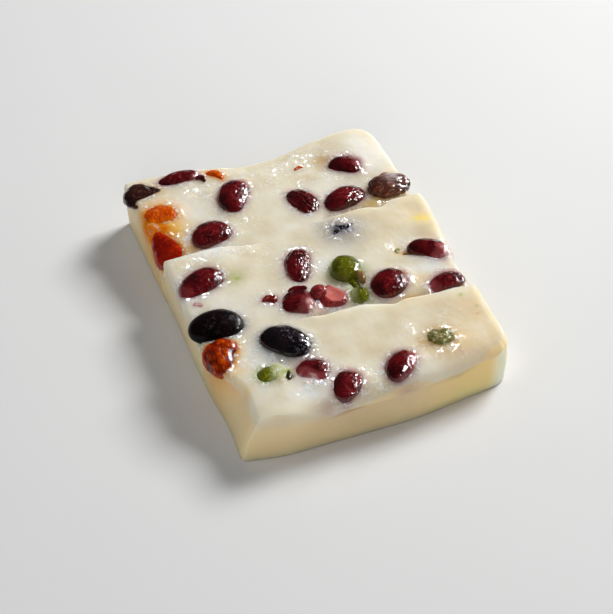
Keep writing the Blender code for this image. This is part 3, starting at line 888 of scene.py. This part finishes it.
def topGrid():
    dense = slab["rightRound"][1]
    side = rounded(dense, slab["sideLoops"])
    inner = spaced(dense, slab["length"] - dense, slab["step"])
    places = side + inner + [slab["length"] - place for place in reversed(side)]
    columns = [place / halfLength - 1 for place in places]
    grids = []
    for strip in range(3):
        grid = stripGrid(strip, columns)
        if grids:
            # the faces of the cut between two strips
            last = [axis[-1] for axis in grids[-1]]
            for part in slab["cutLoops"]:
                step = smooth(part, 0, 1)
                grids.append([(a + (b[0] - a) * step)[None] for a, b in zip(last, grid)])
        grids.append(grid)
    return [np.concatenate(axis) for axis in zip(*grids)]


wraps = {
    "tint": {"red": "red", "brown": "tan", "black": "black", "pea": "green", "pumpkin": "orange"},
    "halo": {"red": 1.0, "brown": 1.4, "black": 1.2, "pea": 1.1, "pumpkin": 2.6},
    "around": (2.6, 4.5),  # a bean changes the cake this many halos out, or at least this far
    "lip": (0.06, 0.3),  # the cake climbs this much up a bare bean, and this share up a veiled one
    "lipWidth": (0.6, 0.8),  # on the bean and beside it
    "bank": 0.25,  # and swells this much round it
    "bankReach": 2.2,
    "veil": (-0.1, 0.35),  # where a film starts and where it is whole
    "film": (0.10, 0.35),  # thickness at the film's edge, and what it gains over half a bean
    "stain": (0.55, 0.3, 1.4),  # colour beside a bare bean, what a film adds, and how it falls
    "soak": 0.7,  # depth at which a bean's colour has faded
    "wet": (0.9, 2.0),  # strength and reach
    "calmReach": 0.8,
    "blackEnd": (-38.5, -33.5),  # X up to which no black runs down the left rim
}


def wrapBean(top, rise, tints, node, bean):
    # the cake's skin climbs round a bean, lies over part of it and takes its colour
    mesh = beanPieces[node].data
    tree = treeOf(mesh)
    points = pointsOf(mesh) / mm
    low, high = points.min(0), points.max(0)
    halo = bean.get("halo", wraps["halo"][bean["kind"]])
    halos, least = wraps["around"]
    reach = max(halos * halo, least)
    x, y, z = top
    near = (x > low[0] - reach) & (x < high[0] + reach) & (y > low[1] - reach) & (y < high[1] + reach)
    tint = tints[bean.get("tint", wraps["tint"][bean["kind"]])]
    thinnest, thicker = wraps["film"]
    bareLip, veiledLip = wraps["lip"]
    onBean, beside = wraps["lipWidth"]
    stain, filmStain, stainFall = wraps["stain"]
    wetness, wetReach = wraps["wet"]
    bank = bean.get("bank", wraps["bank"])
    for j, i in zip(*np.nonzero(near)):
        spot = Vector((x[j, i], y[j, i], z[j, i])) * mm
        hit = fromAbove(tree, spot)
        distance = tree.find_nearest(spot)[3] / mm
        cover = filmReach(bean, low, high, x[j, i], y[j, i]) if "film" in bean else -9
        share = float(smooth(cover, *wraps["veil"]))
        film = share * (thinnest + thicker * max(cover, 0))
        lip = bareLip + share * veiledLip * max(high[2] - z[j, i], 0)
        over = hit.z / mm - z[j, i] if hit is not None else -1
        if over > 0:
            lift = share * over + film + bank + lip * max(1 - over / onBean, 0)
            amount = math.exp(-max(lift - over, 0) / wraps["soak"])
        else:
            lift = (film + lip) * hump(distance, 0, beside + beside * share)
            lift += bank * hump(distance, 0, wraps["bankReach"])
            amount = (stain + filmStain * share) * math.exp(-((distance / halo) ** stainFall))
            if hit is not None:
                amount = max(amount, math.exp(over / wraps["soak"]))
        rise[j, i] = max(rise[j, i], lift)
        tint[j, i] = max(tint[j, i], amount)
        tints["wet"][j, i] = max(tints["wet"][j, i], wetness * hump(distance, 0, wetReach))
        tints["calm"][j, i] = max(tints["calm"][j, i], hump(distance, 0, wraps["calmReach"]))


def softened(field, rounds):
    for _ in range(rounds):
        grown = np.pad(field, 1, mode="edge")
        beside = grown[:-2, 1:-1] + grown[2:, 1:-1] + grown[1:-1, :-2] + grown[1:-1, 2:]
        field = (4 * field + beside) / 8
    return field


def wrapBeans(top):
    # lifts the top round its beans and returns the share of each finish on it
    x, y, z = top
    tints = {name: np.zeros_like(x) for name in spots}
    rise = np.zeros_like(x)
    for node, bean in beans.items():
        wrapBean(top, rise, tints, node, bean)
    z += softened(rise, 2)
    for name, places in spots.items():
        for *place, strength in places:
            tints[name] = np.maximum(tints[name], strength * patch(x, y, *place))
        tints[name] = softened(tints[name], 2)
    tints["black"] *= smooth(x, *wraps["blackEnd"])
    return tints


# height at which the cream-coloured skin of the top ends on the front wall, along X
creamLine = (
    (-33, 11.5), (-22, 12.2), (-17, 11.4), (-13.8, 10.2), (-9.3, 11.0), (-4.5, 11.3), (1, 12.2), (5, 13.2),
    (10, 13.4), (15.6, 11.4), (23, 10.8), (29, 12.2), (32, 14.2),
)
wallTones = {
    "creamLeft": 15.5,  # the skin ends at this height on the left wall
    "creamDrop": 5,  # and lower by this much on the right one
    "creamBand": 4.5,  # depth of the top's front edge that can belong to the wall
    "creamEdge": (-0.35, 0.7),
    "softer": (4, 9, 20),  # the edge is this much softer on the left wall, and beyond -X = 9 to 20
    "gold": (6, 26),  # X over which the front wall turns golden, partly its own tone and partly painted warm light
    "goldLeft": (-22, 20, 0.12),  # Y, reach and share on the left wall, partly its own tone and partly painted warm light
    "seam": {"at": 0, "humps": ((-8, 6, 1), (8, 5, 1), (22, 5, 0.5))},  # painted shadow: a dark line under the cream's edge
    "dim": (-4, 12, 0.25),  # X, reach and share of the painted shade on the middle of the front wall
    "right": (31, 35.5),  # X over which the front wall turns pale, painted light for light coming through the right corner
    "stains": ("amber", "tan", "orange"),
    "stainsEnd": (8, 24),  # X past which none of them runs down
    "stay": ("wet", "white", "black"),  # never run down
    "fall": 3.5,  # how fast a tint fades downwards
    "slowFall": {"amber": 1.6, "orange": 1.6},
    "fadeHeight": 14,
    "blur": 61,  # points along the rim
}


def wallRings(x, y, z, side, facing):
    # rings from the rim of the top down to the foot and on under the slab;
    # side is -1 at the left rim and 1 at the right one, facing points outwards
    levels = spaced(0.03, 1, 0.97 / slab["wallLoops"])[-2::-1] + [*slab["footLoops"]]
    onLeft = smooth(-side, 0.90, 0.985)
    onRight = smooth(side, 0.93, 0.985)
    corner = slab["cornerLean"] * smooth(-y, *slab["cornerStart"]) * smooth(-side, 0.45, 1)
    rings = []
    for level in levels:
        height = z * level
        belly = slab["belly"] * math.sin(math.pi * level)
        lean = slab["leftLean"] * (1 - level) * onLeft - corner * (1 - level ** slab["cornerBend"])
        foot = slab["footRound"] * quarterRound(height, slab["footRound"])
        ringX = x + lean + belly * onRight - facing[:, 0] * foot
        ringY = y - facing[:, 1] * foot
        rings.append(np.stack((ringX, ringY, height), 1))
    last = rings[-1]
    for scale in slab["underLoops"]:
        rings.append(last * (scale, scale, 1))
    return rings


def wallShare(x, z, facing):
    # 0 on the skin of the top, 1 on the cut wall; facing is how far a point looks each way
    cream = np.interp(x, *zip(*creamLine))
    toLeft, toRight = smooth(-facing[:, 0], 0.35, 0.6), smooth(facing[:, 0], 0.3, 0.8)
    line = cream + (wallTones["creamLeft"] - cream) * toLeft - wallTones["creamDrop"] * toRight
    softer, *softPlace = wallTones["softer"]
    width = 1 + softer * toLeft + softer * smooth(-x, *softPlace)
    return smooth((line - z) / width, *wallTones["creamEdge"])


def slabLayers(tints, flat, rim, rings, facing):
    # attributes for the finish, on the top and then down the walls
    x, y, z = np.concatenate(rings).T
    onRings = np.tile(facing, (len(rings), 1))
    onFront, onLeft = smooth(-onRings[:, 1], 0.3, 0.8), smooth(-onRings[:, 0], 0.3, 0.8)
    frontBand = flat[:, 1] < stripLines(0, flat[:, 0])[0] + wallTones["creamBand"]
    topShare = np.where(frontBand, wallShare(flat[:, 0], flat[:, 2], np.array([(0.0, -1.0)])), 0)
    # golden tone, partly the wall's own and partly painted warm light
    *goldPlace, goldShare = wallTones["goldLeft"]
    gold = onFront * smooth(x, *wallTones["gold"])
    gold = np.maximum(gold, goldShare * onLeft * hump(y, *goldPlace))
    below = np.interp(x, *zip(*creamLine)) - z
    # painted shade: a darker middle of the front wall and a dark line under the cream's edge
    *dimPlace, dimShare = wallTones["dim"]
    dim = dimShare * hump(x, *dimPlace) * smooth(below, -0.5, 1)
    seam = np.maximum(follow(wallTones["seam"], x) * hump(below, 0.5, 0.8), dim) * onFront
    # painted light: walls that face right, and the right end of the front wall, lighter and warmer as if
    # lit from the right
    right = np.maximum(smooth(onRings[:, 0], 0.2, 0.9), smooth(x, *wallTones["right"]))
    none = np.zeros(len(flat))
    layers = {
        "wall": (topShare, wallShare(x, z, onRings)),
        "gold": (none, gold), "seam": (none, seam), "right": (none, right),
    }
    blur = np.hanning(wallTones["blur"])
    blur = blur / blur.sum()
    heights = np.array([ring[:, 2].mean() for ring in rings]) / wallTones["fadeHeight"]
    for name, tint in tints.items():
        values = softened(tint, 4).ravel()[rim] * (name not in wallTones["stay"])
        if name in wallTones["stains"]:
            values = values * (1 - smooth(flat[rim, 0], *wallTones["stainsEnd"]))
        values = np.convolve(np.tile(values, 3), blur, "same")[len(rim):-len(rim)]
        fall = wallTones["slowFall"].get(name, wallTones["fall"])
        layers[name] = (tint.ravel(), np.outer(np.exp(-fall * (1 - heights)), values).ravel())
    return {name: np.concatenate(parts) for name, parts in layers.items()}


def slabMesh():
    top = topGrid()
    tints = wrapBeans(top)
    rows, columns = top[0].shape
    order = np.arange(rows * columns).reshape(rows, columns)
    rim = np.concatenate((order[0, :-1], order[:-1, -1], order[-1, :0:-1], order[:0:-1, 0]))
    flat = np.stack([axis.ravel() for axis in top], 1)
    x, y, z = flat[rim].T
    side = x / np.where(x < 0, -follow(outlines["left"], y), follow(outlines["right"], y))
    course = np.roll(flat[rim, :2], -1, 0) - np.roll(flat[rim, :2], 1, 0)
    course /= np.maximum(np.linalg.norm(course, axis=1), 1e-9)[:, None]
    facing = np.stack((course[:, 1], -course[:, 0]), 1)
    rings = wallRings(x, y, z, side, facing)
    quads = np.stack((order[:-1, :-1], order[:-1, 1:], order[1:, 1:], order[1:, :-1]), -1).reshape(-1, 4)
    faces = [tuple(face) for face in quads.tolist()]
    upper, start = rim, len(flat)
    for ring in rings:
        lower = np.arange(start, start + len(ring))
        band = np.stack((upper, lower, np.roll(lower, -1), np.roll(upper, -1)), 1)
        faces += [tuple(face) for face in band.tolist()]
        upper, start = lower, start + len(ring)
    faces.append(tuple(upper.tolist()[::-1]))
    mesh = bpy.data.meshes.new("slab")
    mesh.from_pydata(np.concatenate([flat] + rings) * mm, [], faces)
    addLayers(mesh, slabLayers(tints, flat, rim, rings, facing))
    return mesh


def reliefTree():
    # fine relief of the slab: soft unevenness everywhere and beads where it is wet
    tree, given = newTree(
        "cakeRelief",
        UnevenDepth=1.0, UnevenSize=9.0, RippleDepth=0.2, RippleSize=3.6,
        BeadDepth=0.3, BeadSize=1.5, Seed=2.0, Skin="",
    )
    item = tree.interface.new_socket("Slab", in_out="INPUT", socket_type="NodeSocketGeometry")
    tree.interface.move(item, 0)
    entry = [node for node in tree.nodes if node.bl_idname == "NodeGroupInput"][0]
    named = (geometryNode(tree, "InputNamedAttribute", Name=name) for name in ("wet", "calm", "wall"))
    wet, calm, wall = named
    place = scaled(tree, geometryNode(tree, "InputPosition"), 1 / mm)
    place = vectorCalc(tree, "ADD", place, combine(tree, given["Seed"], 0, 0))
    restless = linear(tree, calm, -0.85, 1)
    onTop = linear(tree, wall, -0.6, 1)
    shares = {"Uneven": onTop, "Ripple": times(tree, onTop, restless), "Bead": times(tree, wet, restless)}
    depth = 0
    for name, share in shares.items():
        spread = scaled(tree, place, calc(tree, "DIVIDE", 1, given[name + "Size"]))
        part = calc(tree, "SUBTRACT", noiseTexture(tree, spread, 1, 1)[0], 0.5)
        depth = calc(tree, "ADD", depth, times(tree, part, given[name + "Depth"], share))
    standing = fade(tree, separate(tree, place)[2], 0.4, 3.0)
    offset = scaled(tree, geometryNode(tree, "InputNormal"), times(tree, depth, standing, mm))
    moved = geometryNode(tree, "SetPosition", entry.outputs["Slab"], Offset=offset)
    endTree(tree, moved, given["Skin"])
    return tree


cakeLook = {
    "top": (0.735, 0.655, 0.485),
    "topPale": (0.785, 0.73, 0.585),
    "wallHigh": (0.86, 0.70, 0.42),
    "wallLow": (0.80, 0.61, 0.34),
    # painted light on walls that face right and at the right end of the front wall
    "right": (1.0, 0.91, 0.69),
    # golden tone, partly painted warm light
    "gold": (0.94, 0.71, 0.32),
    # painted shade on the front wall
    "seam": (0.52, 0.36, 0.20),
    # white of the wet flecks, partly foam and partly painted sparkle
    "foam": (0.98, 0.98, 0.975),
    "tints": {
        "white": (0.85, 0.845, 0.80),
        "yellow": (0.88, 0.74, 0.12), "tan": (0.60, 0.38, 0.14), "amber": (0.82, 0.49, 0.085),
        "orange": (0.71, 0.185, 0.002), "green": (0.36, 0.43, 0.09), "black": (0.13, 0.13, 0.19),
        "red": (0.44, 0.20, 0.22),
    },
    # patterns, as in a skin
    "mottle": (9, 0.35, 0.65),
    "dampness": (3.2, 0.38, 0.58),
    "foaming": (1.1, 0.50, 0.57, 3, 0.65, 0.6),
    "clouds": 10,
    "broken": 1.6,
    "soft": (3.6, 1),
    "softDepth": 0.25,
    "foamDepth": 0.2,
    "beads": 0.6,
    "beadTilt": 1.3,
    "beadLean": (0.15, 0.95, 0.5),  # towards the window
    "coat": (0.93, 0.05),  # where it is damp, and where it is dry
    "orangePower": 1.35,  # above 1 keeps orange closer to its source
}


def cakeMaterial(look):
    material, tree, shader, coords = newMaterial(
        "riceCake",
        Roughness=0.38,
        IOR=1.42,
        Specular_IOR_Level=0.03,
        Subsurface_Weight=1.0,
        Subsurface_Scale=0.007,
        Subsurface_Radius=(1.0, 0.84, 0.62),
        Coat_Roughness=0.07,
    )
    mottled = patches(tree, coords, *look["mottle"])
    color = blend(tree, mottled, look["top"], look["topPale"])
    color = blend(tree, attribute(tree, "right"), color, look["right"])
    height = calc(tree, "DIVIDE", separate(tree, coords)[2], wallTones["fadeHeight"] * mm)
    height = calc(tree, "ADD", height, linear(tree, cloud(tree, coords, look["clouds"]), 0.3, -0.15))
    side = blend(tree, fade(tree, height, 0.0, 0.85), look["wallLow"], look["wallHigh"])
    # painted light and shade on the walls: warm glow, the lit right end and the shadow under the cream's
    # edge
    for name in ("gold", "right", "seam"):
        side = blend(tree, attribute(tree, name), side, look[name])
    color = blend(tree, attribute(tree, "wall"), color, side)
    broken = linear(tree, cloud(tree, coords, look["broken"]), 0.7, 0.65)
    for name, tint in look["tints"].items():
        amount = attribute(tree, name)
        if name == "amber":
            amount = calc(tree, "MAXIMUM", amount, attribute(tree, "orange"))
        if name == "orange":
            amount = calc(tree, "POWER", amount, look["orangePower"])
        amount = calc(tree, "MINIMUM", times(tree, amount, broken), 1)
        color = blend(tree, amount, color, tint)
    # satin skin, with crisp white flecks where it is wet, partly white foam and partly a painted sparkle
    damp = times(tree, attribute(tree, "wet"), patches(tree, coords, *look["dampness"]))
    foam = patches(tree, coords, *look["foaming"])
    foam = times(tree, foam, damp, linear(tree, attribute(tree, "amber"), -0.8, 0.9))
    color = blend(tree, foam, color, look["foam"])
    soft = bump(tree, cloud(tree, coords, *look["soft"]), look["softDepth"])
    tilt = times(tree, damp, look["beadTilt"])
    wire(tree, shader, {
        "Base Color": color,
        "Normal": bump(tree, foam, look["foamDepth"], soft),
        "Coat Normal": facets(tree, coords, look["beads"], tilt, soft, look["beadLean"]),
        "Coat Weight": linear(tree, damp, *look["coat"]),
    })
    return material


def makeSlab():
    values = {"Skin": cakeMaterial(cakeLook)}
    mesh = harvest([growing("riceCake", reliefTree(), values, slabMesh())])["riceCake"]
    mesh.set_sharp_from_angle(angle=math.radians(60))
    return addPiece("riceCake", mesh, "rice_cake", "slice_back", "slice_middle", "slice_front")


cakePiece = makeSlab()
triangles = sum(len(face.vertices) - 2 for face in cakePiece.data.polygons)
print("slab ready:", triangles, "triangles")


# scraps without a CAD node: skin, X and Y, height of the middle above the cake, size, turn and tilt
scraps = {
    "cornerTail": ("husk", (-36.8, 39.2), -0.6, (5.6, 1.8, 1.5), (84, 30)),
    "cornerFlake": ("red", (-34.8, 43.6), 0.3, (2.8, 1.4, 2.0), (60, 0)),
    "rimNub": ("red", (-16.4, 42.4), 0.0, (3.0, 2.0, 1.8), (-40, 0)),
    "orangeCrumb": ("pumpkin", (10.7, 37.4), 0.0, (2.8, 1.0, 0.8), (10, 0)),
    "hollowCrumb": ("drabPea", (23.4, -4.4), 0.1, (2.0, 1.3, 0.9), (50, 0)),
    "hollowSkin": ("seed", (25.2, -6.4), 0.0, (2.2, 1.0, 0.7), (-20, 0)),
    "peaSeed": ("seed", (9.8, -10.8), 0.9, (5.0, 2.1, 2.8), (-72, 10)),
    "peaTail": ("pea", (7.9, -12.2), -0.6, (6.8, 2.8, 2.6), (-86, 6)),
    "splitLobe": ("split", (-2.8, -13.6), 0.9, (4.6, 4.2, 4.0), (20, 0)),
    "redFlap": ("red", (-7.4, -10.3), 0.8, (5.4, 1.6, 1.4), (-6, 0)),
    "skinWedge": ("red", (-33.6, -5.6), -0.3, (3.6, 2.2, 0.9), (-30, 0)),
    "bluePeel": ("black", (14.6, 8.2), 0.0, (2.6, 1.0, 0.8), (30, 0)),
}
scrapForm = beanKinds["pumpkin"] | {"Crease": 0.05, "Dent": 0.5, "DentSize": 1.2, "Bend": 0.3}
plainForm = {"Fullness": 2.1, "Bend": 0.0, "Dent": 0.1, "Crease": 0.0}
plainScraps = ("peaTail", "splitLobe")


def makeScraps():
    cake = treeOf(cakePiece.data)
    tree = bpy.data.node_groups["beanMaker"]
    growers = []
    for seed, (name, (skin, place, lift, size, turn)) in enumerate(scraps.items()):
        values = sized(size) | {"Seed": seedStep["scraps"] * seed, "Detail": 4}
        values = values | scrapForm | (plainForm if name in plainScraps else {})
        growers.append(growing(name, tree, values | {"Skin": skins[skin]}))
    for name, mesh in harvest(growers).items():
        skin, (x, y), lift, size, turn = scraps[name]
        ground = fromAbove(cake, Vector((x * mm, y * mm, 0)))
        mesh.transform(rotation(*turn))
        mesh.transform(Matrix.Translation(ground + Vector((0, 0, lift * mm))))
        paintBean(mesh, {"film": (0, 1)} if name == "skinWedge" else {})
        addPiece(name, mesh, skinLooks[skin]["slot"])


makeScraps()
print("scraps ready:", len(scraps))


# floor, light and camera, in metres
studio = {
    "floor": (0.78, 0.79, 0.80),
    "world": (0.95, 0.97, 1.0),
    "worldStrength": 0.05,
    "lights": {
        # place, size, power, colour; the glints show in highlights alone
        "window": ((0.62, 0.28, 0.62), 0.36, 9.2, (1.0, 0.985, 0.96)),
        "glintFront": ((0.88, -0.15, 0.33), 0.26, 13.0, (1.0, 1.0, 1.0)),
        "glintBack": ((0.90, 0.22, 0.24), 0.26, 13.0, (1.0, 1.0, 1.0)),
        "glintTop": ((0.62, 0.28, 0.62), 0.11, 3.6, (1.0, 1.0, 1.0)),
        "front": ((-0.35, -0.95, 0.5), 0.7, 3.7, (1.0, 0.99, 0.97)),
        "left": ((-0.8, 0.1, 0.6), 0.6, 1.7, (0.97, 0.99, 1.0)),
    },
    "cameraPlace": (-0.12954, -0.33846, 0.34684),
    "cameraDown": 43.85,
    "cameraTurn": 20.80,
    "lens": 108.14,
}


def makeStudio(look):
    bpy.ops.mesh.primitive_plane_add(size=3, location=(0, 0, 0))
    floor = bpy.context.object
    floor.name = "floor"
    material, tree, shader, coords = newMaterial("floorPaint", Roughness=0.9, Specular_IOR_Level=0.0)
    shade = tuple(0.97 * part for part in look["floor"])
    wire(tree, shader, {"Base Color": blend(tree, cloud(tree, coords, 60), look["floor"], shade)})
    floor.data.materials.append(material)
    world = bpy.data.worlds.new("softRoom")
    bpy.context.scene.world = world
    world.use_nodes = True
    sky = {"Color": rgba(look["world"]), "Strength": look["worldStrength"]}
    wire(world.node_tree, world.node_tree.nodes["Background"], sky)
    for name, (place, size, power, color) in look["lights"].items():
        data = bpy.data.lights.new(name, "AREA")
        data.size, data.energy, data.color = size, power, color
        lamp = bpy.data.objects.new(name, data)
        bpy.context.scene.collection.objects.link(lamp)
        lamp.location = place
        lamp.rotation_euler = (-Vector(place)).to_track_quat("-Z", "Y").to_euler()
        lamp.visible_glossy = name.startswith("glint")
        lamp.visible_diffuse = not lamp.visible_glossy
    data = bpy.data.cameras.new("camera")
    data.sensor_fit, data.sensor_width, data.lens = "HORIZONTAL", 36, look["lens"]
    data.clip_start = 0.01
    camera = bpy.data.objects.new("camera", data)
    bpy.context.scene.collection.objects.link(camera)
    camera.location = look["cameraPlace"]
    camera.rotation_euler = (math.radians(90 - look["cameraDown"]), 0, math.radians(-look["cameraTurn"]))
    bpy.context.scene.camera = camera
    bpy.context.scene.view_settings.view_transform = "Standard"


makeStudio(studio)
print("studio ready")
